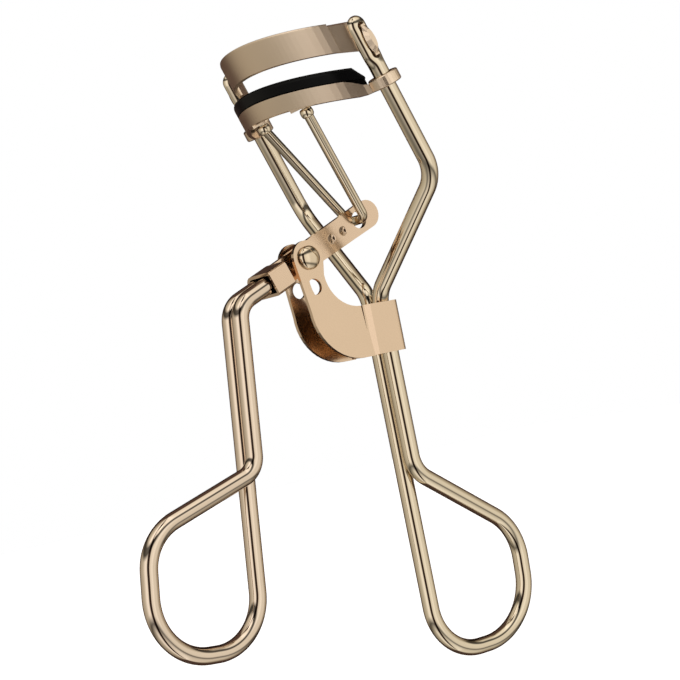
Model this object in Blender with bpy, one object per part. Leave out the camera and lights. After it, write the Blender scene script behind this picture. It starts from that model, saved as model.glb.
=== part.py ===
"""Eyelash curler: two bent wire handles, a riveted bracket and a pair of curved jaws.

Blender 4.5. Lengths are written in millimetres times MM, and the model is in metres.
+X runs from the moving handle to the fixed one, +Y across the jaws, +Z up along the fixed handle.
"""
from math import acos, cos, pi, radians, sin, sqrt, tan

import bmesh
import bpy
from mathutils import Vector

MM = 0.001

# ---- driving dimensions -------------------------------------------------------------------
# Both handles are bent from the same round wire. Two strands lie side by side along Y.
WIRE_R = 1.4 * MM
STRAND_Y = 1.45 * MM
WIRE_SIDES = 16
PLAY = 0.3 * MM                     # gap between pieces that touch on the real tool
SHEET = 0.65 * MM                   # bracket and jaw sheet thickness

# Place of the bracket's foot on the fixed handle, above the lowest point of the tool.
FOOT_X = 15.93 * MM
FOOT_Z = 52.1 * MM

# Head frame: two uprights that lean towards the moving handle.
LEAN = radians(21.5)
UPRIGHT_Y = 17.75 * MM
SHOULDER_X = 2.6 * MM
SHOULDER_Z = 26.0 * MM
SHOULDER_BEND = 6.0 * MM
NECK_Z = 9.6 * MM
NECK_BEND = 5.0 * MM
UPRIGHT_LENGTH = 27.4 * MM
EYE_LOW = 20.0 * MM
EYE_HIGH = 26.2 * MM
EYE_WIDTH = 1.4 * MM
FLAT_HALF_WIDTH = 1.65 * MM
FLAT_HALF_DEPTH = 1.1 * MM

# Finger loops: corner points of the centreline and their bend radii, measured along (u)
# and across (v) each handle from its own origin.
FIXED_LOOP = ((0.0, -19.7, 5.0), (19.7, -33.2, 9.8), (19.7, -50.7, 9.8), (0.0, -50.7, 8.3))
MOVING_LOOP = ((0.0, -13.8, 3.6), (19.5, -22.0, 7.8), (19.5, -40.5, 9.7), (0.0, -40.5, 8.3))
MOVING_LEAN = radians(6.6)
MOVING_X = -28.6 * MM

# Bracket: a folded sheet that grips the fixed handle and carries the pivot.
FERRULE_TOP = 8.2 * MM
FERRULE_BACK_X = -4.2 * MM
FERRULE_CORNER = 1.3 * MM
CHEEK_JOIN_X = -4.9 * MM
CHEEK_Y = 1.95 * MM                  # middle of a cheek at the pivot
CHEEK_SPREAD = 0.045                # outward lean of a cheek, towards the ferrule
FERRULE_PLAY = 0.15 * MM
PIVOT_X = -13.1 * MM
PIVOT_Z = 17.1 * MM
CHEEK_END_R = 2.85 * MM
PEEP_DROP = 4.7 * MM
PEEP_R = 1.3 * MM

# Pivot rivet.
RIVET_R = 1.2 * MM
RIVET_HEAD_R = 1.95 * MM
RIVET_HEAD_H = 0.9 * MM

# Lever plate: lies square to the uprights, its left end folded into a sleeve.
LEVER_HALF_T = 0.5 * MM
LEVER_HALF_W = 2.3 * MM
LEVER_REACH = 18.2 * MM
ROD_HOLE_AT = 13.8 * MM
ROD_HOLE_R = 1.45 * MM
SLEEVE_NEAR = 5.2 * MM
SLEEVE_FAR = 8.9 * MM
SLEEVE_WALL = 0.5 * MM
SLEEVE_PLAY = 0.15 * MM
SLEEVE_CORNER = 0.6 * MM
SLEEVE_BACK_CORNER = 1.95 * MM
ELBOW_AT = 15.2 * MM
ELBOW_BEND = 3.9 * MM

# Jaws: both follow one arc, seen along the uprights.
JAW_TILT = radians(5.0)
JAW_HALF_CHORD = 16.8 * MM
JAW_SAGITTA = 9.8 * MM
UPPER_END_OFF = 0.2 * MM
LOWER_END_OFF = -1.6 * MM
UPPER_LOW = 22.0 * MM
UPPER_HIGH = 26.9 * MM
UPPER_ARC_Y = 14.6 * MM
FLANGE_DEPTH = 2.0 * MM
NECK_LOW = 22.1 * MM
NECK_RISE = 26.6 * MM
NECK_TOP = 26.9 * MM
TAB_END_Y = 19.2 * MM
TAB_HEAD_Y = 19.95 * MM
LOWER_LOW = 14.95 * MM
LOWER_HIGH = 17.7 * MM
LOWER_STEP_Y = 14.9 * MM
LOWER_END_HIGH = 16.8 * MM
EYELET_LOW = 15.6 * MM
EYELET_HIGH = 17.4 * MM
EYELET_R = 2.5 * MM
EAR_Y = 6.85 * MM
EAR_INSET = 1.6 * MM
EAR_LIFT = 0.6 * MM
EAR_R = 1.5 * MM
EAR_HOLE_R = 0.8 * MM

# Silicone pad on the lower jaw.
PAD_TOP = 20.0 * MM
PAD_END_Y = 16.5 * MM
PAD_END_TOP_Y = 15.8 * MM
PAD_IN = 2.7 * MM

# Push rod: one thin wire bent into a narrow V, its foot through the lever's hole.
ROD_R = 0.8 * MM
ROD_SIDES = 12
ROD_FOOT_Y = 2.1 * MM
ROD_FOOT_BEND = 1.5 * MM
COLLAR_R = 1.1 * MM
COLLAR_HALF_H = 0.75 * MM
ROD_TIP = 1.1 * MM
ROD_TIP_R = 0.5 * MM

GOLD = (0.80, 0.62, 0.47)
GOLD_DEEP = (0.76, 0.57, 0.42)
SILICONE = (0.012, 0.012, 0.013)


# ---- directions and places ----------------------------------------------------------------
FOOT = Vector((FOOT_X, 0.0, FOOT_Z))
UP_RAIL = Vector((-sin(LEAN), 0.0, cos(LEAN)))      # along an upright
LEVER_DIR = Vector((cos(LEAN), 0.0, sin(LEAN)))     # along the lever, square to the uprights
BULGE_DIR = Vector((-cos(JAW_TILT), 0.0, sin(JAW_TILT)))
ACROSS = Vector((0.0, 1.0, 0.0))
PIVOT = FOOT + Vector((PIVOT_X, 0.0, PIVOT_Z))
SHOULDER = FOOT + Vector((SHOULDER_X, 0.0, SHOULDER_Z))
ROD_HOLE = PIVOT + LEVER_DIR * ROD_HOLE_AT


def rail(s, off=0.0, y=0.0):
    """Point at height s along the uprights, off to the side of them, and y across."""
    return SHOULDER + UP_RAIL * s + LEVER_DIR * off + ACROSS * y


def jaw_radius():
    return (JAW_HALF_CHORD ** 2 + JAW_SAGITTA ** 2) / (2 * JAW_SAGITTA)


def jaw_bulge(y):
    """How far the jaw arc stands out at y, from the chord between its ends."""
    radius = jaw_radius()
    return sqrt(radius ** 2 - y ** 2) - (radius - JAW_SAGITTA)


def jaw_point(s, y, end_off):
    return rail(s, end_off, y) + BULGE_DIR * jaw_bulge(y)


def jaw_inward(y):
    """Horizontal direction into the hollow side of the arc at y."""
    return (-BULGE_DIR - ACROSS * (y / sqrt(jaw_radius() ** 2 - y ** 2))).normalized()


# ---- paths --------------------------------------------------------------------------------
def bent_path(corners, step=12):
    """Centreline through (point, bend radius) corners: straight runs joined by arcs."""
    path = [corners[0][0].copy()]
    for before, here, after in zip(corners, corners[1:], corners[2:]):
        corner, radius = here
        back = (before[0] - corner).normalized()
        ahead = (after[0] - corner).normalized()
        opening = acos(max(-1.0, min(1.0, back.dot(ahead))))
        turn = pi - opening
        if radius <= 0.0 or turn < radians(0.5):
            path.append(corner.copy())
            continue
        reach = radius * tan(turn / 2)
        middle = corner + (back + ahead).normalized() * (radius / sin(opening / 2))
        first = corner + back * reach - middle
        last = corner + ahead * reach - middle
        pieces = max(2, int(turn / radians(step)) + 1)
        for i in range(pieces + 1):
            t = i / pieces
            weight_first = sin((1 - t) * turn) / sin(turn)
            weight_last = sin(t * turn) / sin(turn)
            path.append(middle + first * weight_first + last * weight_last)
    path.append(corners[-1][0].copy())
    return path


def path_frames(path, side):
    """Tangent, side and third axis at each point, with the side carried along the path."""
    frames = []
    for i, point in enumerate(path):
        before = path[max(i - 1, 0)]
        after = path[min(i + 1, len(path) - 1)]
        tangent = (after - before).normalized()
        side = (side - tangent * side.dot(tangent)).normalized()
        frames.append((tangent, side, tangent.cross(side)))
    return frames


# ---- mesh helpers -------------------------------------------------------------------------
def material(name, colour, metallic, roughness):
    mat = bpy.data.materials.new(name)
    mat.use_nodes = True
    shader = mat.node_tree.nodes["Principled BSDF"]
    shader.inputs["Base Color"].default_value = (*colour, 1.0)
    shader.inputs["Metallic"].default_value = metallic
    shader.inputs["Roughness"].default_value = roughness
    mat.diffuse_color = (*colour, 1.0)
    return mat


def mesh_object(name, bm, origin, mat, smooth_angle=radians(35)):
    """Object whose origin is a point of the model and whose faces look outwards."""
    bmesh.ops.recalc_face_normals(bm, faces=bm.faces)
    bmesh.ops.translate(bm, verts=bm.verts, vec=-origin)
    mesh = bpy.data.meshes.new(name)
    bm.to_mesh(mesh)
    bm.free()
    mesh.shade_smooth()
    mesh.set_sharp_from_angle(angle=smooth_angle)
    obj = bpy.data.objects.new(name, mesh)
    obj.location = origin
    bpy.context.scene.collection.objects.link(obj)
    if mat is not None:
        mesh.materials.append(mat)
    return obj


def add_rings(bm, rings):
    """Skin a list of equal rings and close both ends."""
    loops = [[bm.verts.new(point) for point in ring] for ring in rings]
    count = len(loops[0])
    for lower, upper in zip(loops, loops[1:]):
        for i in range(count):
            j = (i + 1) % count
            bm.faces.new((lower[i], lower[j], upper[j], upper[i]))
    bm.faces.new(loops[0][::-1])
    bm.faces.new(loops[-1])


def add_tube(bm, path, sides, radius_at, side=Vector((1, 0, 0))):
    """Round or flattened bar: radius_at(i) gives its two half widths at point i."""
    rings = []
    for i, (point, frame) in enumerate(zip(path, path_frames(path, side))):
        _, first, second = frame
        a, b = radius_at(i)
        angles = [2 * pi * k / sides for k in range(sides)]
        rings.append([point + first * a * cos(t) + second * b * sin(t) for t in angles])
    add_rings(bm, rings)


def add_turned(bm, base, axis, side, profile, sides):
    """Turned piece: profile is a list of (radius, height along axis)."""
    third = axis.cross(side)
    rings = []
    for radius, height in profile:
        angles = [2 * pi * k / sides for k in range(sides)]
        rings.append([base + axis * height + (side * cos(t) + third * sin(t)) * radius
                      for t in angles])
    add_rings(bm, rings)


def add_prism(bm, outline, depth):
    """Flat outline pushed along depth."""
    add_rings(bm, [outline, [point + depth for point in outline]])


def arc(centre_u, centre_v, radius, start, end, pieces):
    """Points of an arc in a plane, angles in degrees."""
    angles = [radians(start + (end - start) * i / pieces) for i in range(pieces + 1)]
    return [(centre_u + radius * cos(t), centre_v + radius * sin(t)) for t in angles]


def boolean(obj, operation, cutter):
    cutter.hide_render = True
    cutter.display_type = 'WIRE'
    modifier = obj.modifiers.new(cutter.name, 'BOOLEAN')
    modifier.operation = operation
    modifier.solver = 'EXACT'
    modifier.object = cutter


def tool(name, origin, build, *args):
    """Helper solid for a Boolean: build adds its faces to an empty mesh."""
    bm = bmesh.new()
    build(bm, *args)
    return mesh_object(name, bm, origin, None)


def bore(name, centre, axis, side, radius, length, sides=24):
    profile = ((radius, -length / 2), (radius, length / 2))
    return tool(name, centre, add_turned, centre, axis, side, profile, sides)


# ---- handles ------------------------------------------------------------------------------
def loop_corners(origin, down, out, corners, y_start, y_end):
    """Loop corner points, stepping across from one strand to the other on the way round."""
    placed = []
    for i, (u, v, radius) in enumerate(corners):
        y = y_start + (y_end - y_start) * i / (len(corners) - 1)
        point = origin + out * (u * MM) - down * (v * MM) + ACROSS * y
        placed.append((point, radius * MM))
    return placed


def upright_top(path):
    """Half widths of the frame wire: flattened and domed at both ends."""
    lengths = [0.0]
    for a, b in zip(path, path[1:]):
        lengths.append(lengths[-1] + (b - a).length)
    total = lengths[-1]
    flat_length = UPRIGHT_LENGTH - EYE_LOW + 0.6 * MM
    blend = 1.6 * MM

    def radius_at(i):
        from_end = min(lengths[i], total - lengths[i])
        mix = max(0.0, min(1.0, (flat_length - from_end) / blend))
        a = WIRE_R + (FLAT_HALF_WIDTH - WIRE_R) * mix
        b = WIRE_R + (FLAT_HALF_DEPTH - WIRE_R) * mix
        if from_end < a:
            dome = sqrt(max(0.04, 1.0 - (1.0 - from_end / a) ** 2))
            a *= dome
            b *= dome
        return a, b

    return radius_at


def add_frame_wire(bm):
    down = Vector((0, 0, -1))
    near = -1.0
    far = 1.0

    def head(side):
        y = side * UPRIGHT_Y
        heights = (0.0, 0.12, 0.45, 0.95, 1.75, 4.0, 7.4, 8.1, 8.8, 9.6)
        top = [(rail(UPRIGHT_LENGTH - h * MM, 0, y), 0.0) for h in heights]
        bend = [(rail(0, 0, y), SHOULDER_BEND),
                (FOOT + Vector((0, side * STRAND_Y, NECK_Z)), NECK_BEND)]
        return top + bend

    loop = loop_corners(FOOT, down, Vector((1, 0, 0)), FIXED_LOOP, -STRAND_Y, STRAND_Y)
    corners = head(near) + loop + head(far)[::-1]
    path = bent_path(corners)
    add_tube(bm, path, WIRE_SIDES, upright_top(path), LEVER_DIR)


def build_frame_wire(mat):
    bm = bmesh.new()
    add_frame_wire(bm)
    obj = mesh_object("frame_wire", bm, FOOT, mat)
    half_width = EYE_WIDTH / 2
    low = EYE_LOW + half_width
    high = EYE_HIGH - half_width
    outline = arc(0, high, half_width, 0, 180, 8) + arc(0, low, half_width, 180, 360, 8)
    for name, side in (("near", -1), ("far", 1)):
        start = side * UPRIGHT_Y - 3 * MM
        points = [rail(s, off, start) for off, s in outline]
        cutter = tool("eye_cut_" + name, rail(low, 0, side * UPRIGHT_Y), add_prism, points,
                      ACROSS * 6 * MM)
        boolean(obj, 'DIFFERENCE', cutter)
    return obj


def build_handle_wire(parent, mat):
    down = Vector((-sin(MOVING_LEAN), 0, -cos(MOVING_LEAN)))
    out = Vector((-cos(MOVING_LEAN), 0, sin(MOVING_LEAN)))
    origin = FOOT + Vector((MOVING_X, 0, 0))
    elbow = PIVOT - LEVER_DIR * ELBOW_AT
    wall = SLEEVE_NEAR + SLEEVE_WALL + PLAY
    start = PIVOT - LEVER_DIR * wall

    def shank(side):
        y = ACROSS * side * STRAND_Y
        return [(start + y, 0.0), (elbow + y, ELBOW_BEND)]

    loop = loop_corners(origin, down, out, MOVING_LOOP, -STRAND_Y, STRAND_Y)
    path = bent_path(shank(-1) + loop + shank(1)[::-1])
    bm = bmesh.new()
    add_tube(bm, path, WIRE_SIDES, lambda i: (WIRE_R, WIRE_R))
    return place(mesh_object("handle_wire", bm, PIVOT, mat), parent)


# ---- bracket and pivot --------------------------------------------------------------------
def fold_outline():
    """Outline of the folded sheet round the two strands, as (x, y) in the foot's frame."""
    inner_x = WIRE_R + FERRULE_PLAY
    inner_y = STRAND_Y + WIRE_R + FERRULE_PLAY
    outer_x = inner_x + SHEET
    outer_y = inner_y + SHEET
    foot_y = CHEEK_Y + CHEEK_SPREAD * (PIVOT_Z - FERRULE_TOP / 2)
    cheek_in = foot_y - SHEET / 2
    cheek_out = foot_y + SHEET / 2
    inner_corner = FERRULE_CORNER - SHEET / 2
    outside = [(CHEEK_JOIN_X, -cheek_out), (CHEEK_JOIN_X + 0.35 * MM, -cheek_out)]
    outside += [(FERRULE_BACK_X + 0.3 * MM, -outer_y)]
    outside += arc(outer_x - FERRULE_CORNER, FERRULE_CORNER - outer_y, FERRULE_CORNER, -90, 0, 6)
    outside += [(x, -y) for x, y in reversed(outside)]
    inside = [(CHEEK_JOIN_X, cheek_in), (CHEEK_JOIN_X + 0.6 * MM, cheek_in)]
    inside += [(FERRULE_BACK_X + 0.75 * MM, inner_y)]
    inside += arc(inner_x - inner_corner, inner_y - inner_corner, inner_corner, 90, 0, 4)
    inside += [(x, -y) for x, y in reversed(inside)]
    return outside + inside


def cheek_outline():
    """Outline of one cheek as (x, z) in the foot's frame, round the pivot and down to the foot."""
    pts = arc(PIVOT_X, PIVOT_Z, CHEEK_END_R, -10, 185, 16)
    pts += arc(-6.3 * MM, 8.4 * MM, 8.5 * MM, 180, 270, 12)
    pts += [(CHEEK_JOIN_X + SHEET, -0.1 * MM), (CHEEK_JOIN_X + SHEET, 0.2 * MM)]
    pts += [(CHEEK_JOIN_X + SHEET, FERRULE_TOP - 0.2 * MM)]
    pts += arc(-5.0 * MM, 14.05 * MM, 5.85 * MM, 270, 180, 10)
    return pts


def build_bracket(mat):
    bm = bmesh.new()
    add_prism(bm, [FOOT + Vector((x, y, 0)) for x, y in fold_outline()],
              Vector((0, 0, FERRULE_TOP)))
    bracket = mesh_object("bracket", bm, FOOT, mat, radians(30))
    for name, side in (("near", -1), ("far", 1)):
        outline = []
        for x, z in cheek_outline():
            y = side * (CHEEK_Y + CHEEK_SPREAD * (PIVOT_Z - z)) - SHEET / 2
            outline.append(FOOT + Vector((x, y, z)))
        cheek = tool("cheek_" + name, PIVOT, add_prism, outline, ACROSS * SHEET)
        boolean(bracket, 'UNION', cheek)
    right = Vector((1, 0, 0))
    boolean(bracket, 'DIFFERENCE',
            bore("pivot_cut", PIVOT, ACROSS, right, RIVET_R + PLAY, 12 * MM))
    peep = PIVOT - Vector((0, 0, PEEP_DROP))
    boolean(bracket, 'DIFFERENCE', bore("peep_cut", peep, ACROSS, right, PEEP_R, 12 * MM))
    return bracket


def build_rivet(mat):
    """Through rivet with a domed head outside each cheek."""
    seat = CHEEK_Y + SHEET / 2 + CHEEK_SPREAD * RIVET_HEAD_R + 0.15 * MM
    head = [(RIVET_HEAD_R * cos(t), seat + 0.15 * MM + RIVET_HEAD_H * sin(t))
            for t in (0, 0.3, 0.6, 0.9, 1.2, 1.42)]
    half = [(RIVET_R, seat), (RIVET_HEAD_R, seat)] + head
    profile = [(r, -h) for r, h in reversed(half)] + half
    bm = bmesh.new()
    add_turned(bm, PIVOT, ACROSS, Vector((1, 0, 0)), profile, 24)
    return mesh_object("pivot_rivet", bm, PIVOT, mat)


# ---- lever --------------------------------------------------------------------------------
def lever_point(along, across, y=0.0):
    return PIVOT + LEVER_DIR * along + UP_RAIL * across + ACROSS * y


def build_lever(parent, mat):
    """Flat strip with a rod hole; its left end is folded round the handle wire's two ends."""
    end = LEVER_REACH - LEVER_HALF_W
    outline = arc(end, 0, LEVER_HALF_W, -90, 90, 14)
    outline += [(-SLEEVE_NEAR - SLEEVE_WALL / 2, LEVER_HALF_W * 0.9),
                (-SLEEVE_NEAR - SLEEVE_WALL / 2, -LEVER_HALF_W * 0.9)]
    bm = bmesh.new()
    add_prism(bm, [lever_point(a, w, -LEVER_HALF_T) for a, w in outline],
              ACROSS * 2 * LEVER_HALF_T)
    lever = mesh_object("lever_plate", bm, PIVOT, mat, radians(30))

    room_w = WIRE_R + SLEEVE_PLAY
    room_y = STRAND_Y + WIRE_R + SLEEVE_PLAY
    body = rounded_bar(-SLEEVE_NEAR, -SLEEVE_FAR, room_w + SLEEVE_WALL, room_y + SLEEVE_WALL,
                       SLEEVE_CORNER, SLEEVE_BACK_CORNER)
    boolean(lever, 'UNION', tool("sleeve_body", PIVOT, add_prism, *body))
    room = rounded_bar(-SLEEVE_NEAR - SLEEVE_WALL, -SLEEVE_FAR - MM, room_w, room_y,
                       SLEEVE_CORNER - SLEEVE_WALL + 0.1 * MM, SLEEVE_BACK_CORNER - SLEEVE_WALL)
    boolean(lever, 'DIFFERENCE', tool("sleeve_room", PIVOT, add_prism, *room))
    boolean(lever, 'DIFFERENCE',
            bore("lever_pivot_cut", PIVOT, ACROSS, LEVER_DIR, RIVET_R + PLAY, 4 * MM))
    boolean(lever, 'DIFFERENCE',
            bore("rod_hole_cut", ROD_HOLE, ACROSS, LEVER_DIR, ROD_HOLE_R, 4 * MM))
    return place(lever, parent)


def rounded_bar(start, end, half_w, half_y, near_corner, far_corner):
    """Rounded rectangle across the lever at start, and the push that takes it to end."""
    pts = []
    for centre_w, centre_y, angle in ((1, 1, 0), (-1, 1, 90), (-1, -1, 180), (1, -1, 270)):
        corner = far_corner if centre_y > 0 else near_corner
        pts += arc(centre_w * (half_w - corner), centre_y * (half_y - corner), corner,
                   angle, angle + 90, 5)
    return [lever_point(start, w, y) for w, y in pts], LEVER_DIR * (end - start)


# ---- jaws ---------------------------------------------------------------------------------
def jaw_spans(half_y, pieces):
    return [-half_y + 2 * half_y * i / pieces for i in range(pieces + 1)]


def sweep_section(bm, stations, section):
    """Sweep a section along the jaw: section(y) gives (inward, s) points at that station."""
    rings = []
    for position, inward, y in stations:
        rings.append([position + inward * depth + UP_RAIL * s for depth, s in section(y)])
    add_rings(bm, rings)


def jaw_stations(half_y, pieces, end_off):
    """Stations along the arc: a point at s = 0, the inward direction, and y."""
    return [(jaw_point(0.0, y, end_off), jaw_inward(y), y) for y in jaw_spans(half_y, pieces)]


def build_upper_jaw(mat):
    """Curved strip with a flange along its top; its end tabs are peened in the uprights' eyes."""
    flange = ((0, UPPER_LOW), (SHEET, UPPER_LOW), (SHEET, UPPER_HIGH - SHEET),
              (FLANGE_DEPTH, UPPER_HIGH - SHEET), (FLANGE_DEPTH, UPPER_HIGH - 0.2 * MM),
              (FLANGE_DEPTH - 0.2 * MM, UPPER_HIGH), (0.3 * MM, UPPER_HIGH),
              (0.08 * MM, UPPER_HIGH - 0.1 * MM), (0, UPPER_HIGH - 0.35 * MM))
    bm = bmesh.new()
    sweep_section(bm, jaw_stations(UPPER_ARC_Y, 36, UPPER_END_OFF), lambda y: flange)
    jaw = mesh_object("upper_jaw", bm, jaw_point(UPPER_LOW, 0, UPPER_END_OFF), mat)
    tab_low = EYE_LOW + PLAY + 0.2 * MM
    tab_high = EYE_HIGH - PLAY - 0.2 * MM
    for name, side in (("near", -1), ("far", 1)):
        centre = rail(tab_low, 0, side * UPRIGHT_Y)
        boolean(jaw, 'UNION', tool("tab_" + name, centre, add_tab_arm, side, tab_low, tab_high))
        boolean(jaw, 'UNION', tool("tab_head_" + name, centre, add_tab_head, side, tab_low,
                                   tab_high))
    return jaw


def add_tab_arm(bm, side, low, high):
    """End strip: leaves the arc inside the sheet, bends into line with the eye and runs out."""
    y = side * UPPER_ARC_Y
    position, inward = jaw_point(0.0, y, UPPER_END_OFF), jaw_inward(y)
    joint = position + inward * (SHEET / 2) - rail(0)
    lift = joint.dot(UP_RAIL)
    start_off = joint.dot(LEVER_DIR)
    mouth_y = side * (UPRIGHT_Y - FLAT_HALF_DEPTH - 0.75 * MM)
    half = EYE_WIDTH / 2 - PLAY
    rings = []
    for off, across, bottom, top in (
            (start_off, y - side * 0.6 * MM, UPPER_LOW + lift + 0.1 * MM, NECK_RISE + lift),
            (0.0, mouth_y, NECK_LOW, NECK_TOP),
            (0.0, mouth_y + side * 0.3 * MM, low, high),
            (0.0, side * TAB_END_Y, low, high)):
        rings.append([rail(bottom, off - half, across), rail(bottom, off + half, across),
                      rail(top, off + half, across), rail(top, off - half, across)])
    add_rings(bm, rings)


def add_tab_head(bm, side, low, high):
    """Peened end of a tab: a lens-shaped boss standing outside the eye."""
    base_y = side * (UPRIGHT_Y + FLAT_HALF_DEPTH + PLAY)
    rings = []
    for y, half_width, trim in ((base_y, 0.75 * MM, 0.0), (side * TAB_END_Y, 0.95 * MM, 0.2 * MM),
                                (side * TAB_HEAD_Y, 0.45 * MM, 1.1 * MM)):
        middle = (low + high) / 2
        half_height = (high - low) / 2 - trim
        ring = [rail(middle + half_height * sin(t), half_width * cos(t), y)
                for t in (2 * pi * k / 16 for k in range(16))]
        rings.append(ring)
    add_rings(bm, rings)


def lower_section(y):
    """Lower jaw strip: full height in the middle, stepped down towards the eyelets."""
    step = max(0.0, min(1.0, (abs(y) - LOWER_STEP_Y) / (0.6 * MM)))
    rise = max(0.0, min(1.0, (abs(y) - LOWER_STEP_Y - 0.8 * MM) / (0.9 * MM)))
    top = LOWER_HIGH + (LOWER_END_HIGH - LOWER_HIGH) * step
    low = LOWER_LOW + (EYELET_LOW - LOWER_LOW) * rise
    return ((0, low), (SHEET, low), (SHEET, top), (0, top))


def build_lower_jaw(parent, mat):
    """Curved strip with an eyelet round each upright and two ears for the push rod."""
    bm = bmesh.new()
    sweep_section(bm, jaw_stations(JAW_HALF_CHORD, 40, LOWER_END_OFF), lower_section)
    jaw = mesh_object("lower_jaw", bm, jaw_point(LOWER_LOW, 0, LOWER_END_OFF), mat)
    for name, side in (("near", -1), ("far", 1)):
        centre = rail(0, 0, side * UPRIGHT_Y)
        ring = ((EYELET_R - 0.15 * MM, EYELET_LOW), (EYELET_R, EYELET_LOW + 0.15 * MM),
                (EYELET_R, EYELET_HIGH - 0.15 * MM), (EYELET_R - 0.15 * MM, EYELET_HIGH))
        boolean(jaw, 'UNION', tool("eyelet_" + name, centre, add_turned, centre, UP_RAIL,
                                   LEVER_DIR, ring, 32))
    for name, side in (("near", -1), ("far", 1)):
        centre = rail((EYELET_LOW + EYELET_HIGH) / 2, 0, side * UPRIGHT_Y)
        boolean(jaw, 'DIFFERENCE', bore("rail_cut_" + name, centre, UP_RAIL, LEVER_DIR,
                                        WIRE_R + PLAY, 8 * MM))
        ear = ear_place(side)
        outline = ear_outline(ear)
        boolean(jaw, 'UNION', tool("ear_" + name, ear, add_prism, outline, UP_RAIL * SHEET))
        boolean(jaw, 'DIFFERENCE', bore("ear_cut_" + name, ear, UP_RAIL, LEVER_DIR,
                                        EAR_HOLE_R, 3 * MM, 16))
    return place(jaw, parent)


def ear_place(side):
    """Centre of an ear's underside: inside the arc, just above the strip's lower edge."""
    y = side * EAR_Y
    return jaw_point(LOWER_LOW + EAR_LIFT, y, LOWER_END_OFF) + jaw_inward(y) * (SHEET + EAR_INSET)


def ear_outline(centre):
    """Round tab that reaches back to the strip."""
    inward = jaw_inward(centre.y)
    inward = (inward - UP_RAIL * inward.dot(UP_RAIL)).normalized()
    across = UP_RAIL.cross(inward)
    pts = arc(0, 0, EAR_R, -90, 90, 12)
    pts += [(-EAR_INSET - SHEET / 2, EAR_R), (-EAR_INSET - SHEET / 2, -EAR_R)]
    return [centre + inward * u + across * v for u, v in pts]


def build_pad(parent, mat):
    """Silicone strip that stands on the lower jaw's edge, with a lip behind the metal."""
    seat = LOWER_HIGH + PLAY
    lip = LOWER_HIGH - 1.0 * MM
    behind = SHEET + PLAY
    rim = 0.5 * MM

    def section(y):
        top = PAD_TOP - max(0.0, abs(y) - PAD_END_TOP_Y) * 2.6
        return ((0, seat), (0, top - rim), (0.12 * MM, top - 0.15 * MM), (rim, top),
                (PAD_IN - rim, top), (PAD_IN - 0.12 * MM, top - 0.15 * MM),
                (PAD_IN, top - rim), (PAD_IN, lip), (behind, lip), (behind, seat))

    bm = bmesh.new()
    sweep_section(bm, jaw_stations(PAD_END_Y, 34, LOWER_END_OFF), section)
    pad = mesh_object("silicone_pad", bm, jaw_point(PAD_TOP, 0, LOWER_END_OFF), mat)
    return place(pad, parent)


# ---- push rod -----------------------------------------------------------------------------
def rod_top(side):
    """Middle of a collar, just under its ear."""
    return ear_place(side) - UP_RAIL * (COLLAR_HALF_H + PLAY)


def build_push_rod(parent, mat):
    """V-shaped wire: a collar and a thin tip at each end, and a foot through the lever."""
    near_foot = ROD_HOLE - ACROSS * ROD_FOOT_Y
    far_foot = ROD_HOLE + ACROSS * ROD_FOOT_Y
    path = bent_path([(rod_top(-1), 0.0), (near_foot, ROD_FOOT_BEND),
                      (far_foot, ROD_FOOT_BEND), (rod_top(1), 0.0)], step=15)
    bm = bmesh.new()
    add_tube(bm, path, ROD_SIDES, lambda i: (ROD_R, ROD_R), LEVER_DIR)
    rod = mesh_object("push_rod", bm, rod_top(-1), mat)
    for name, side in (("near", -1), ("far", 1)):
        profile = [(COLLAR_R * 0.72, -COLLAR_HALF_H), (COLLAR_R, -COLLAR_HALF_H * 0.35),
                   (COLLAR_R, COLLAR_HALF_H * 0.35), (COLLAR_R * 0.72, COLLAR_HALF_H),
                   (ROD_TIP_R, COLLAR_HALF_H), (ROD_TIP_R, COLLAR_HALF_H + ROD_TIP)]
        boolean(rod, 'UNION', tool("collar_" + name, rod_top(side), add_turned, rod_top(side),
                                   UP_RAIL, LEVER_DIR, profile, 16))
    return place(rod, parent)


# ---- assembly -----------------------------------------------------------------------------
def pivot_empty(name, location, parent=None):
    empty = bpy.data.objects.new(name, None)
    empty.empty_display_size = 5 * MM
    bpy.context.scene.collection.objects.link(empty)
    empty.location = location
    if parent is not None:
        empty.location = location - parent.matrix_world.translation
        empty.parent = parent
    bpy.context.view_layer.update()
    return empty


def place(obj, parent):
    """Hang a piece on its joint's empty without moving it."""
    obj.location = obj.location - parent.matrix_world.translation
    obj.parent = parent
    return obj


def main():
    for obj in list(bpy.data.objects):
        bpy.data.objects.remove(obj)
    frame_gold = material("frame_gold", GOLD, 1.0, 0.12)
    sheet_gold = material("sheet_gold", GOLD, 1.0, 0.10)
    handle_gold = material("handle_gold", GOLD, 1.0, 0.12)
    rod_gold = material("rod_gold", GOLD, 1.0, 0.14)
    rivet_gold = material("rivet_gold", GOLD_DEEP, 1.0, 0.10)
    silicone = material("silicone_black", SILICONE, 0.0, 0.28)

    build_frame_wire(frame_gold)
    build_upper_jaw(sheet_gold)
    build_bracket(sheet_gold)
    build_rivet(rivet_gold)

    handle_joint = pivot_empty("handle_joint", PIVOT)
    build_lever(handle_joint, sheet_gold)
    build_handle_wire(handle_joint, handle_gold)

    jaw_joint = pivot_empty("jaw_joint", rail(LOWER_LOW))
    build_lower_jaw(jaw_joint, sheet_gold)
    build_pad(jaw_joint, silicone)

    middle = (rod_top(-1) + rod_top(1)) / 2
    rod_joint = pivot_empty("rod_joint", middle, jaw_joint)
    build_push_rod(rod_joint, rod_gold)


main()
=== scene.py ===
"""Looks of the eyelash curler: fine round wire, rounded edges, rose gold plating and silicone.

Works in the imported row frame, in metres. Every size below is in millimetres times MM.
"""

from math import acos, cos, pi, radians, sin, sqrt, tan

import bmesh
import bpy
from mathutils import Matrix, Vector


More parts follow.
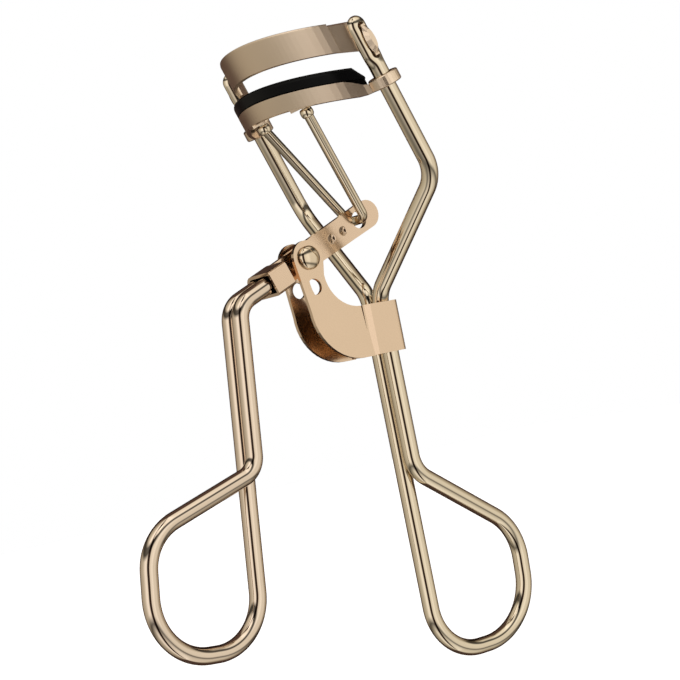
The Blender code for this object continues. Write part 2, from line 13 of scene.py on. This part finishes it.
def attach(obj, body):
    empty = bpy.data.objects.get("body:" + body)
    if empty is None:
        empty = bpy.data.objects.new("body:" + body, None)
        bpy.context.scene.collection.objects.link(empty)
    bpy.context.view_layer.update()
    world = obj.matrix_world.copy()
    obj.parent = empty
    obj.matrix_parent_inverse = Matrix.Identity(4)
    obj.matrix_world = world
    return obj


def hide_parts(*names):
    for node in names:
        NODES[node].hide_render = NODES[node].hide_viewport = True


MM = 0.001

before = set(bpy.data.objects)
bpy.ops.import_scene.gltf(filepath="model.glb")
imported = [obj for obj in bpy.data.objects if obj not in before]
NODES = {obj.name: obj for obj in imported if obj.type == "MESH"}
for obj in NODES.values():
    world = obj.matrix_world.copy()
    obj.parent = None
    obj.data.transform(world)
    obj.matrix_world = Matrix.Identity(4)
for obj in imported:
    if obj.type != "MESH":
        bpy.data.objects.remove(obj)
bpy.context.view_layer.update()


# ---- sizes the looks share with the part --------------------------------------------------
WIRE_R = 1.36 * MM
STRAND_Y = 1.42 * MM
FOOT = Vector((15.93 * MM, 0.0, 52.1 * MM))
LEAN = radians(21.5)
UP_RAIL = Vector((-sin(LEAN), 0.0, cos(LEAN)))
LEVER_DIR = Vector((cos(LEAN), 0.0, sin(LEAN)))
ACROSS = Vector((0.0, 1.0, 0.0))
SHOULDER = FOOT + Vector((2.6 * MM, 0.0, 26.0 * MM))
UPRIGHT_Y = 17.75 * MM
UPRIGHT_LENGTH = 27.4 * MM
EYE_LOW = 20.0 * MM
EYE_HIGH = 26.2 * MM
EYE_HALF_WIDTH = 0.7 * MM
FLAT_HALF_WIDTH = 1.65 * MM
FLAT_HALF_DEPTH = 1.1 * MM
FLAT_MARGIN = 1.2 * MM
FLAT_BLEND = 2.0 * MM
SHOULDER_BEND = 6.0 * MM
NECK = Vector((0.0, 0.0, 9.6 * MM))
NECK_BEND = 5.0 * MM
PIVOT = FOOT + Vector((-13.1 * MM, 0.0, 17.1 * MM))
LEVER_HALF_T = 0.5 * MM
DIMPLES_AT = (7.1 * MM, 9.8 * MM)


def rail(s, off=0.0, y=0.0):
    return SHOULDER + UP_RAIL * s + LEVER_DIR * off + ACROSS * y


# ---- paths and tubes ----------------------------------------------------------------------
def bent_path(corners, step=3.0):
    path = [corners[0][0].copy()]
    for before, here, after in zip(corners, corners[1:], corners[2:]):
        corner, radius = here
        back = (before[0] - corner).normalized()
        ahead = (after[0] - corner).normalized()
        opening = acos(max(-1.0, min(1.0, back.dot(ahead))))
        turn = pi - opening
        if radius <= 0.0 or turn < radians(0.5):
            path.append(corner.copy())
            continue
        reach = radius * tan(turn / 2)
        middle = corner + (back + ahead).normalized() * (radius / sin(opening / 2))
        first = corner + back * reach - middle
        last = corner + ahead * reach - middle
        pieces = max(3, int(turn / radians(step)) + 1)
        for i in range(pieces + 1):
            t = i / pieces
            path.append(middle + first * (sin((1 - t) * turn) / sin(turn))
                        + last * (sin(t * turn) / sin(turn)))
    path.append(corners[-1][0].copy())
    return path


def tube(name, path, radius_at, sides=40, side=LEVER_DIR):
    bm = bmesh.new()
    rings = []
    for i, point in enumerate(path):
        before = path[max(i - 1, 0)]
        after = path[min(i + 1, len(path) - 1)]
        tangent = (after - before).normalized()
        side = (side - tangent * side.dot(tangent)).normalized()
        third = tangent.cross(side)
        a, b = radius_at(i)
        rings.append([bm.verts.new(point + side * a * cos(t) + third * b * sin(t))
                      for t in (2 * pi * k / sides for k in range(sides))])
    for lower, upper in zip(rings, rings[1:]):
        for i in range(sides):
            j = (i + 1) % sides
            bm.faces.new((lower[i], lower[j], upper[j], upper[i]))
    bm.faces.new(rings[0][::-1])
    bm.faces.new(rings[-1])
    bmesh.ops.recalc_face_normals(bm, faces=bm.faces)
    mesh = bpy.data.meshes.new(name)
    bm.to_mesh(mesh)
    bm.free()
    mesh.shade_smooth()
    mesh.set_sharp_from_angle(angle=radians(40))
    obj = bpy.data.objects.new(name, mesh)
    bpy.context.scene.collection.objects.link(obj)
    return obj


def loop_corners(origin, down, out, corners, y_start, y_end):
    placed = []
    for i, (u, v, radius) in enumerate(corners):
        y = y_start + (y_end - y_start) * i / (len(corners) - 1)
        point = origin + out * (u * MM) - down * (v * MM) + ACROSS * y
        placed.append((point, radius * MM))
    return placed


# ---- materials ----------------------------------------------------------------------------
def gold(name, colour, roughness, waviness=0.0, scale=60.0):
    """Polished plating: full metal with a faint cloudiness and, on sheet, a slight ripple."""
    mat = bpy.data.materials.new(name)
    mat.use_nodes = True
    tree = mat.node_tree
    nodes, links = tree.nodes, tree.links
    shader = nodes["Principled BSDF"]
    shader.inputs["Metallic"].default_value = 1.0
    coords = nodes.new("ShaderNodeTexCoord")
    cloud = nodes.new("ShaderNodeTexNoise")
    cloud.inputs["Scale"].default_value = 220.0
    cloud.inputs["Detail"].default_value = 4.0
    links.new(coords.outputs["Object"], cloud.inputs["Vector"])
    tint = nodes.new("ShaderNodeMix")
    tint.data_type = 'RGBA'
    tint.inputs["A"].default_value = (*[c * 0.97 for c in colour], 1.0)
    tint.inputs["B"].default_value = (*[min(1.0, c * 1.03) for c in colour], 1.0)
    links.new(cloud.outputs["Fac"], tint.inputs["Factor"])
    links.new(tint.outputs["Result"], shader.inputs["Base Color"])
    rough = nodes.new("ShaderNodeMapRange")
    rough.inputs["To Min"].default_value = roughness * 0.8
    rough.inputs["To Max"].default_value = roughness * 1.25
    links.new(cloud.outputs["Fac"], rough.inputs["Value"])
    links.new(rough.outputs["Result"], shader.inputs["Roughness"])
    if waviness > 0.0:
        ripple = nodes.new("ShaderNodeTexNoise")
        ripple.inputs["Scale"].default_value = scale
        ripple.inputs["Detail"].default_value = 1.0
        links.new(coords.outputs["Object"], ripple.inputs["Vector"])
        bump = nodes.new("ShaderNodeBump")
        bump.inputs["Strength"].default_value = waviness
        bump.inputs["Distance"].default_value = 0.0004
        links.new(ripple.outputs["Fac"], bump.inputs["Height"])
        links.new(bump.outputs["Normal"], shader.inputs["Normal"])
    return mat


def press_dimples(mat, centres, radius, depth):
    """Small round punch marks round these points of the row frame."""
    tree = mat.node_tree
    coords = tree.nodes.new("ShaderNodeTexCoord")
    shader = tree.nodes["Principled BSDF"]
    for centre in centres:
        gap = tree.nodes.new("ShaderNodeVectorMath")
        gap.operation = 'DISTANCE'
        gap.inputs[1].default_value = centre
        tree.links.new(coords.outputs["Object"], gap.inputs[0])
        slope = tree.nodes.new("ShaderNodeMapRange")
        slope.interpolation_type = 'SMOOTHSTEP'
        slope.inputs["From Max"].default_value = radius
        tree.links.new(gap.outputs["Value"], slope.inputs["Value"])
        bump = tree.nodes.new("ShaderNodeBump")
        bump.inputs["Distance"].default_value = depth
        tree.links.new(slope.outputs["Result"], bump.inputs["Height"])
        tree.links.new(shader.inputs["Normal"].links[0].from_socket, bump.inputs["Normal"])
        tree.links.new(bump.outputs["Normal"], shader.inputs["Normal"])


def silicone(name):
    mat = bpy.data.materials.new(name)
    mat.use_nodes = True
    tree = mat.node_tree
    nodes, links = tree.nodes, tree.links
    shader = nodes["Principled BSDF"]
    coords = nodes.new("ShaderNodeTexCoord")
    cloud = nodes.new("ShaderNodeTexNoise")
    cloud.inputs["Scale"].default_value = 300.0
    links.new(coords.outputs["Object"], cloud.inputs["Vector"])
    tint = nodes.new("ShaderNodeMix")
    tint.data_type = 'RGBA'
    tint.inputs["A"].default_value = (0.0022, 0.0022, 0.0024, 1.0)
    tint.inputs["B"].default_value = (0.0040, 0.0040, 0.0042, 1.0)
    links.new(cloud.outputs["Fac"], tint.inputs["Factor"])
    links.new(tint.outputs["Result"], shader.inputs["Base Color"])
    rough = nodes.new("ShaderNodeMapRange")
    rough.inputs["To Min"].default_value = 0.12
    rough.inputs["To Max"].default_value = 0.18
    links.new(cloud.outputs["Fac"], rough.inputs["Value"])
    links.new(rough.outputs["Result"], shader.inputs["Roughness"])
    shader.inputs["Specular IOR Level"].default_value = 0.11
    return mat


WIRE_GOLD = gold("wire_plating", (0.83, 0.72, 0.55), 0.05)
HANDLE_GOLD = gold("handle_plating", (0.84, 0.70, 0.56), 0.05)
SHEET_GOLD = gold("sheet_plating", (0.85, 0.65, 0.47), 0.15, 0.10, 90.0)
LEVER_GOLD = gold("lever_plating", (0.85, 0.65, 0.48), 0.15, 0.10, 90.0)
JAW_GOLD = gold("jaw_plating", (0.97, 0.79, 0.61), 0.30, 0.06, 90.0)
RIVET_GOLD = gold("rivet_plating", (0.82, 0.68, 0.50), 0.05)
BLACK = silicone("black_silicone")
press_dimples(LEVER_GOLD, [PIVOT + LEVER_DIR * at - ACROSS * LEVER_HALF_T for at in DIMPLES_AT],
              0.85 * MM, 0.5 * MM)


def dress(obj, mat):
    obj.data.materials.clear()
    obj.data.materials.append(mat)


# ---- wires --------------------------------------------------------------------------------
FIXED_LOOP = ((0.0, -19.7, 5.0), (19.7, -33.2, 9.8), (19.7, -50.7, 9.8), (0.0, -50.7, 8.3))
MOVING_LOOP = ((0.0, -13.8, 3.6), (19.5, -22.0, 7.8), (19.5, -40.5, 9.7), (0.0, -40.5, 8.3))
MOVING_LEAN = radians(6.6)
MOVING_ORIGIN = FOOT + Vector((-28.6 * MM, 0.0, 0.0))
SHANK_START = PIVOT - LEVER_DIR * (6.0 * MM)
ELBOW = PIVOT - LEVER_DIR * (15.2 * MM)
ELBOW_BEND = 3.9 * MM


def frame_radius(path):
    lengths = [0.0]
    for a, b in zip(path, path[1:]):
        lengths.append(lengths[-1] + (b - a).length)
    total = lengths[-1]
    flat_length = UPRIGHT_LENGTH - EYE_LOW + FLAT_MARGIN

    def radius_at(i):
        from_end = min(lengths[i], total - lengths[i])
        mix = max(0.0, min(1.0, (flat_length - from_end) / FLAT_BLEND))
        mix = mix * mix * (3 - 2 * mix)
        a = WIRE_R + (FLAT_HALF_WIDTH - WIRE_R) * mix
        b = WIRE_R + (FLAT_HALF_DEPTH - WIRE_R) * mix
        if from_end < a:
            dome = sqrt(max(0.0004, 1.0 - (1.0 - from_end / a) ** 2))
            a *= dome
            b *= dome
        return a, b

    return radius_at


def upright_corners(side):
    heights = [0.0, 0.01, 0.04, 0.1, 0.18, 0.3, 0.45, 0.65, 0.9, 1.2, 1.5, 1.8, 2.6, 4.0, 5.4]
    heights += [6.4 + 0.25 * i for i in range(11)]
    top = [(rail(UPRIGHT_LENGTH - h * MM, 0, side * UPRIGHT_Y), 0.0) for h in heights]
    return top + [(rail(0, 0, side * UPRIGHT_Y), SHOULDER_BEND),
                  (FOOT + NECK + ACROSS * (side * STRAND_Y), NECK_BEND)]


def make_frame_wire():
    down = Vector((0, 0, -1))
    loop = loop_corners(FOOT, down, Vector((1, 0, 0)), FIXED_LOOP, -STRAND_Y, STRAND_Y)
    path = bent_path(upright_corners(-1) + loop + upright_corners(1)[::-1])
    wire = tube("frame_wire_fine", path, frame_radius(path))
    for side in (-1, 1):
        wire = cut_eye(wire, side)
    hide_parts("frame_wire")
    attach(wire, "frame")
    dress(wire, WIRE_GOLD)
    return wire


def cut_eye(wire, side):
    """Long eye through the flattened top of an upright."""
    half = EYE_HALF_WIDTH
    low = EYE_LOW + half
    high = EYE_HIGH - half
    outline = []
    for centre, start in ((high, 0), (low, 180)):
        outline += [(half * cos(radians(start + a)), centre + half * sin(radians(start + a)))
                    for a in range(0, 181, 10)]
    bm = bmesh.new()
    lower = [bm.verts.new(rail(s, off, side * UPRIGHT_Y - 3 * MM)) for off, s in outline]
    upper = [bm.verts.new(rail(s, off, side * UPRIGHT_Y + 3 * MM)) for off, s in outline]
    count = len(outline)
    for i in range(count):
        j = (i + 1) % count
        bm.faces.new((lower[i], lower[j], upper[j], upper[i]))
    bm.faces.new(lower[::-1])
    bm.faces.new(upper)
    bmesh.ops.recalc_face_normals(bm, faces=bm.faces)
    mesh = bpy.data.meshes.new("eye_cut")
    bm.to_mesh(mesh)
    bm.free()
    cutter = bpy.data.objects.new("eye_cut", mesh)
    bpy.context.scene.collection.objects.link(cutter)
    apply_boolean(wire, cutter)
    return wire


def apply_boolean(target, cutter):
    modifier = target.modifiers.new("cut", 'BOOLEAN')
    modifier.operation = 'DIFFERENCE'
    modifier.solver = 'EXACT'
    modifier.object = cutter
    graph = bpy.context.evaluated_depsgraph_get()
    done = bpy.data.meshes.new_from_object(target.evaluated_get(graph))
    target.modifiers.clear()
    target.data = done
    bpy.data.objects.remove(cutter)
    target.data.set_sharp_from_angle(angle=radians(40))


def make_handle_wire():
    down = Vector((-sin(MOVING_LEAN), 0, -cos(MOVING_LEAN)))
    out = Vector((-cos(MOVING_LEAN), 0, sin(MOVING_LEAN)))

    def shank(side):
        y = ACROSS * side * STRAND_Y
        return [(SHANK_START + y, 0.0), (ELBOW + y, ELBOW_BEND)]

    loop = loop_corners(MOVING_ORIGIN, down, out, MOVING_LOOP, -STRAND_Y, STRAND_Y)
    path = bent_path(shank(-1) + loop + shank(1)[::-1])
    wire = tube("handle_wire_fine", path, lambda i: (WIRE_R, WIRE_R))
    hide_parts("handle_wire")
    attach(wire, "handle")
    dress(wire, HANDLE_GOLD)
    return wire


make_frame_wire()
make_handle_wire()

# ---- jaws' pad, push rod and rivet --------------------------------------------------------
JAW_TILT = radians(5.0)
JAW_HALF_CHORD = 16.8 * MM
JAW_SAGITTA = 9.8 * MM
JAW_RADIUS = (JAW_HALF_CHORD ** 2 + JAW_SAGITTA ** 2) / (2 * JAW_SAGITTA)
LOWER_END_OFF = -1.6 * MM
BULGE_DIR = Vector((-cos(JAW_TILT), 0.0, sin(JAW_TILT)))
SHEET = 0.65 * MM
PAD_TOP = 19.98 * MM
PAD_SEAT = 17.9 * MM
PAD_LIP = 16.75 * MM
PAD_END_Y = 16.45 * MM
PAD_END_TOP_Y = 15.8 * MM
PAD_END_SLOPE = 2.6
PAD_OUT = 0.02 * MM
PAD_IN = 2.65 * MM
PAD_ROUND = 0.75 * MM
LOWER_LOW = 14.95 * MM
EAR_Y = 6.85 * MM
EAR_INSET = 1.6 * MM
EAR_LIFT = 0.6 * MM
PLAY = 0.3 * MM
ROD_HOLE = PIVOT + LEVER_DIR * (13.8 * MM)
ROD_R = 0.79 * MM
ROD_FOOT = ACROSS * (2.1 * MM)
ROD_FOOT_BEND = 1.5 * MM
COLLAR_DROP = 0.75 * MM
COLLAR_R = 1.09 * MM
COLLAR_HALF_H = 0.74 * MM
ROD_TIP_R = 0.49 * MM
ROD_TIP_END = 1.8 * MM
RIVET_R = 1.18 * MM
RIVET_SEAT = 2.25 * MM
RIVET_RIM = 0.28 * MM
RIVET_HEAD_R = 1.93 * MM
RIVET_TIP = 3.53 * MM


def jaw_point(s, y):
    bulge = sqrt(JAW_RADIUS ** 2 - y ** 2) - (JAW_RADIUS - JAW_SAGITTA)
    return rail(s, LOWER_END_OFF, y) + BULGE_DIR * bulge


def jaw_inward(y):
    """Level direction into the hollow side of the jaw arc at y."""
    return (-BULGE_DIR - ACROSS * (y / sqrt(JAW_RADIUS ** 2 - y ** 2))).normalized()


def pad_section(y):
    """Rounded strip: its sides, its domed top, and the lip that hooks behind the metal."""
    top = PAD_TOP - max(0.0, abs(y) - PAD_END_TOP_Y) * PAD_END_SLOPE
    corner = min(PAD_ROUND, (top - PAD_SEAT) * 0.8)
    points = [(PAD_OUT, PAD_SEAT), (PAD_OUT, top - corner)]
    for centre, start in ((PAD_OUT + corner, 180), (PAD_IN - corner, 90)):
        points += [(centre + corner * cos(radians(start - a)),
                    top - corner + corner * sin(radians(start - a)))
                   for a in range(0, 91, 10)]
    behind = SHEET + PLAY
    return points + [(PAD_IN, PAD_LIP), (behind, PAD_LIP), (behind, PAD_SEAT)]


def make_pad():
    bm = bmesh.new()
    rings = []
    count = 96
    for i in range(count + 1):
        y = -PAD_END_Y + 2 * PAD_END_Y * i / count
        rings.append([bm.verts.new(jaw_point(s, y) + jaw_inward(y) * depth)
                      for depth, s in pad_section(y)])
    obj = skinned("silicone_pad_fine", bm, rings, 50)
    bevel = obj.modifiers.new("ends", 'BEVEL')
    bevel.width = 0.15 * MM
    bevel.segments = 3
    bevel.limit_method = 'ANGLE'
    bevel.angle_limit = radians(50)
    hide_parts("silicone_pad")
    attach(obj, "jaw_carriage")
    dress(obj, BLACK)


def skinned(name, bm, rings, sharp):
    """Closed skin over rings of vertices, smooth but for edges over the given angle."""
    count = len(rings[0])
    for lower, upper in zip(rings, rings[1:]):
        for i in range(count):
            j = (i + 1) % count
            bm.faces.new((lower[i], lower[j], upper[j], upper[i]))
    bm.faces.new(rings[0][::-1])
    bm.faces.new(rings[-1])
    bmesh.ops.recalc_face_normals(bm, faces=bm.faces)
    mesh = bpy.data.meshes.new(name)
    bm.to_mesh(mesh)
    bm.free()
    mesh.shade_smooth()
    mesh.set_sharp_from_angle(angle=radians(sharp))
    obj = bpy.data.objects.new(name, mesh)
    bpy.context.scene.collection.objects.link(obj)
    return obj


def turned(name, origin, axis, side, profile, sides=48):
    """Solid of revolution: profile gives (radius, height) along the axis."""
    bm = bmesh.new()
    third = axis.cross(side)
    rings = [[bm.verts.new(origin + axis * height + (side * cos(t) + third * sin(t)) * radius)
              for t in (2 * pi * k / sides for k in range(sides))]
             for radius, height in profile]
    return skinned(name, bm, rings, 40)


def make_push_rod():
    """Thin wire in a narrow V with its foot in the lever, and a collar and tip at each end."""
    tops = []
    for side in (-1, 1):
        y = side * EAR_Y
        ear = jaw_point(LOWER_LOW + EAR_LIFT, y) + jaw_inward(y) * (SHEET + EAR_INSET)
        tops.append(ear - UP_RAIL * (COLLAR_DROP + PLAY))
    path = bent_path([(tops[0], 0.0), (ROD_HOLE - ROD_FOOT, ROD_FOOT_BEND),
                      (ROD_HOLE + ROD_FOOT, ROD_FOOT_BEND), (tops[1], 0.0)])
    rod = tube("push_rod_fine", path, lambda i: (ROD_R, ROD_R), sides=32)
    profile = [(0.1 * MM, -COLLAR_HALF_H), (COLLAR_R * 0.72, -COLLAR_HALF_H)]
    profile += [(COLLAR_R * (0.72 + 0.28 * cos(radians(a))), COLLAR_HALF_H * sin(radians(a)))
                for a in range(-75, 76, 15)]
    profile += [(COLLAR_R * 0.72, COLLAR_HALF_H), (ROD_TIP_R, COLLAR_HALF_H),
                (ROD_TIP_R, ROD_TIP_END - 0.1 * MM), (ROD_TIP_R - 0.1 * MM, ROD_TIP_END)]
    for name, top in zip(("near", "far"), tops):
        collar = turned("rod_collar_" + name, top, UP_RAIL, LEVER_DIR, profile)
        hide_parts("push_rod")
        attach(collar, "rod")
        dress(collar, WIRE_GOLD)
    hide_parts("push_rod")
    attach(rod, "rod")
    dress(rod, WIRE_GOLD)


def make_rivet():
    """Plain shank with a low smooth dome on each side."""
    rim = RIVET_SEAT + RIVET_RIM
    dome = [(RIVET_HEAD_R * cos(radians(a)), rim + (RIVET_TIP - rim) * sin(radians(a)))
            for a in range(0, 90, 6)]
    right = [(RIVET_R, RIVET_SEAT), (RIVET_HEAD_R, RIVET_SEAT)] + dome + [(0.05 * MM, RIVET_TIP)]
    left = [(radius, -height) for radius, height in right[::-1]]
    rivet = turned("pivot_rivet_fine", PIVOT, ACROSS, UP_RAIL, left + right, 64)
    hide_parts("pivot_rivet")
    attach(rivet, "frame")
    dress(rivet, RIVET_GOLD)


make_pad()
make_push_rod()
make_rivet()

# ---- carried-over pieces ------------------------------------------------------------------
for name, mat, slot_name in (("upper_jaw", JAW_GOLD, "gold_sheet"),
                             ("bracket", SHEET_GOLD, "gold_sheet"),
                             ("lever_plate", LEVER_GOLD, "gold_sheet"),
                             ("lower_jaw", JAW_GOLD, "gold_sheet")):
    node = NODES[name]
    dress(node, mat)
    bevel = node.modifiers.new("edge", 'BEVEL')
    bevel.width = 0.16 * MM
    bevel.segments = 3
    bevel.limit_method = 'ANGLE'
    bevel.angle_limit = radians(40)


# ---- studio -------------------------------------------------------------------------------
def softbox(name, place, aim, width, height, power, colour=(1, 1, 1)):
    lamp = bpy.data.lights.new(name, 'AREA')
    lamp.shape = 'RECTANGLE'
    lamp.size = width
    lamp.size_y = height
    lamp.energy = power
    lamp.color = colour
    obj = bpy.data.objects.new(name, lamp)
    obj.location = place
    obj.rotation_euler = (Vector(aim) - Vector(place)).to_track_quat('-Z', 'Y').to_euler()
    bpy.context.scene.collection.objects.link(obj)
    return obj


AZ = radians(36.8)
EL = radians(-0.8)
ROLL = radians(-11.35)
back = Vector((-sin(AZ) * cos(EL), -cos(AZ) * cos(EL), sin(EL)))
right = (-back).cross(Vector((0, 0, 1))).normalized()
up = right.cross(-back)
cam_x = right * cos(ROLL) + up * sin(ROLL)
cam_y = up * cos(ROLL) - right * sin(ROLL)
place = FOOT + back * (293.6 * MM) - cam_x * (7.36 * MM) + cam_y * (2.12 * MM)
camera_data = bpy.data.cameras.new("view")
camera_data.lens = 95.3
camera_data.sensor_width = 36.0
camera_data.clip_start = 0.01
camera = bpy.data.objects.new("view", camera_data)
camera.matrix_world = Matrix((
    (cam_x.x, cam_y.x, back.x, place.x),
    (cam_x.y, cam_y.y, back.y, place.y),
    (cam_x.z, cam_y.z, back.z, place.z),
    (0, 0, 0, 1)))
bpy.context.scene.collection.objects.link(camera)
bpy.context.scene.camera = camera

bpy.context.scene.view_settings.view_transform = 'Standard'


# Light round the tool by heading: (degrees right of the camera's own side, colour).
ROOM = (
    (-180, (0.08, 0.05, 0.04)),
    (-138, (0.08, 0.05, 0.04)),
    (-118, (0.40, 0.36, 0.29)),
    (-70, (0.62, 0.58, 0.50)),
    (-38, (1.10, 1.06, 1.01)),
    (-20, (0.98, 0.92, 0.85)),
    (-14, (0.04, 0.025, 0.02)),
    (9, (0.04, 0.025, 0.02)),
    (14, (0.86, 0.81, 0.72)),
    (45, (1.06, 1.03, 0.97)),
    (60, (0.84, 0.80, 0.72)),
    (88, (0.84, 0.80, 0.72)),
    (108, (0.52, 0.47, 0.38)),
    (142, (0.08, 0.05, 0.04)),
    (180, (0.08, 0.05, 0.04)),
)
# Light by height: (sine of the elevation, strength).
HEIGHTS = ((-1.0, 0.95), (-0.72, 0.80), (-0.50, 0.16), (-0.32, 0.95), (0.32, 1.0),
           (0.46, 0.10), (0.62, 0.14), (0.74, 1.15), (1.0, 1.15))
HEADING_BACK = Vector((-sin(AZ), -cos(AZ), 0.0))
HEADING_RIGHT = Vector((cos(AZ), -sin(AZ), 0.0))


def math_node(tree, operation, first, second=None, factor=None):
    node = tree.nodes.new("ShaderNodeMath")
    node.operation = operation
    tree.links.new(first, node.inputs[0])
    if second is not None:
        tree.links.new(second, node.inputs[1])
    if factor is not None:
        node.inputs[1].default_value = factor
    return node.outputs[0]


def along(tree, direction, vector):
    node = tree.nodes.new("ShaderNodeVectorMath")
    node.operation = 'DOT_PRODUCT'
    tree.links.new(vector, node.inputs[0])
    node.inputs[1].default_value = direction
    return node.outputs["Value"]


def make_room():
    """White behind the tool, and round it a light tent with a dark slot at the camera."""
    world = bpy.data.worlds.new("studio")
    world.use_nodes = True
    bpy.context.scene.world = world
    tree = world.node_tree
    tree.nodes.clear()
    heading = tree.nodes.new("ShaderNodeTexCoord").outputs["Generated"]
    angle = math_node(tree, 'ARCTAN2', along(tree, HEADING_RIGHT, heading),
                      along(tree, HEADING_BACK, heading))
    turn = math_node(tree, 'ADD', math_node(tree, 'MULTIPLY', angle, factor=0.5 / pi), factor=0.5)
    ramp = tree.nodes.new("ShaderNodeValToRGB")
    tree.links.new(turn, ramp.inputs["Fac"])
    stops = ramp.color_ramp.elements
    for i, (degrees, colour) in enumerate(ROOM):
        place_on_ramp = degrees / 360 + 0.5
        stop = stops[i] if i < 2 else stops.new(place_on_ramp)
        stop.position = place_on_ramp
        stop.color = (*colour, 1.0)
    level = math_node(tree, 'ADD', math_node(tree, 'MULTIPLY', along(tree, (0, 0, 1), heading),
                                             factor=0.5), factor=0.5)
    bands = tree.nodes.new("ShaderNodeValToRGB")
    tree.links.new(level, bands.inputs["Fac"])
    steps = bands.color_ramp.elements
    for i, (sine, strength) in enumerate(HEIGHTS):
        step = steps[i] if i < 2 else steps.new(sine / 2 + 0.5)
        step.position = sine / 2 + 0.5
        step.color = (strength, strength, strength, 1.0)
    tent = tree.nodes.new("ShaderNodeBackground")
    tree.links.new(ramp.outputs["Color"], tent.inputs["Color"])
    tree.links.new(bands.outputs["Color"], tent.inputs["Strength"])
    white = tree.nodes.new("ShaderNodeBackground")
    white.inputs["Color"].default_value = (1.0, 1.0, 1.0, 1.0)
    seen = tree.nodes.new("ShaderNodeLightPath")
    pick = tree.nodes.new("ShaderNodeMixShader")
    tree.links.new(seen.outputs["Is Camera Ray"], pick.inputs["Fac"])
    tree.links.new(tent.outputs["Background"], pick.inputs[1])
    tree.links.new(white.outputs["Background"], pick.inputs[2])
    output = tree.nodes.new("ShaderNodeOutputWorld")
    tree.links.new(pick.outputs["Shader"], output.inputs["Surface"])


make_room()


def make_floor():
    """Plain white table just under the tool, lit enough to merge with the white behind."""
    mesh = bpy.data.meshes.new("floor")
    half = 0.5
    mesh.from_pydata([(-half, -half, 0), (half, -half, 0), (half, half, 0), (-half, half, 0)],
                     [], [(0, 1, 2, 3)])
    obj = bpy.data.objects.new("floor", mesh)
    obj.location = (0, 0, -1 * MM)
    bpy.context.scene.collection.objects.link(obj)
    mat = bpy.data.materials.new("floor_white")
    mat.use_nodes = True
    shader = mat.node_tree.nodes["Principled BSDF"]
    shader.inputs["Base Color"].default_value = (0.9, 0.9, 0.9, 1.0)
    shader.inputs["Roughness"].default_value = 0.9
    shader.inputs["Specular IOR Level"].default_value = 0.0
    shader.inputs["Emission Color"].default_value = (1.0, 1.0, 1.0, 1.0)
    shader.inputs["Emission Strength"].default_value = 0.9
    mesh.materials.append(mat)
    obj.visible_glossy = False


make_floor()
softbox("key", (-0.25, -0.35, 0.55), (0.0, 0.0, 0.07), 0.2, 0.2, 0.12, (1.0, 0.97, 0.92))
